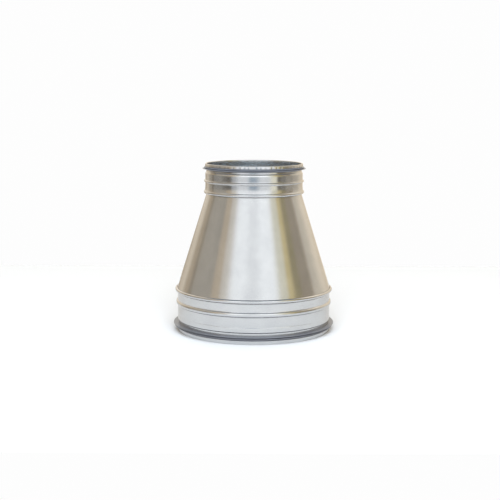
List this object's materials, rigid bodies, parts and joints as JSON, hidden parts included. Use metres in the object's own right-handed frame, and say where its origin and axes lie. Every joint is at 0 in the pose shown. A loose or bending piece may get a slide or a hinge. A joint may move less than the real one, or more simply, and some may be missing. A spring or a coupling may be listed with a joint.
{
  "type": "round duct reducer",
  "caption": "Concentric galvanised duct reducer: a rolled cone between two spigots, each with a stop bead, a lock seam and a double lip rubber seal held in a folded end channel.",
  "frame": {"origin": "centre of the large end face, on the axis, at the lowest point of the reducer", "axes": "+Z along the axis from the large end up to the small end; +Y points to the back, where the welded laps are; +X to the right seen from the front"},
  "size_m": [0.3312, 0.3312, 0.3436],
  "materials": {
    "galvanised_sheet": "bright skin-passed zinc coating with fine rolling grain",
    "seal_rubber": "satin dark grey extruded rubber"
  },
  "bodies": {
    "root": {"cone": "galvanised_sheet", "small_collar": "galvanised_sheet", "large_collar": "galvanised_sheet", "small_seal": "seal_rubber", "large_seal": "seal_rubber"}
  },
  "joints": []
}
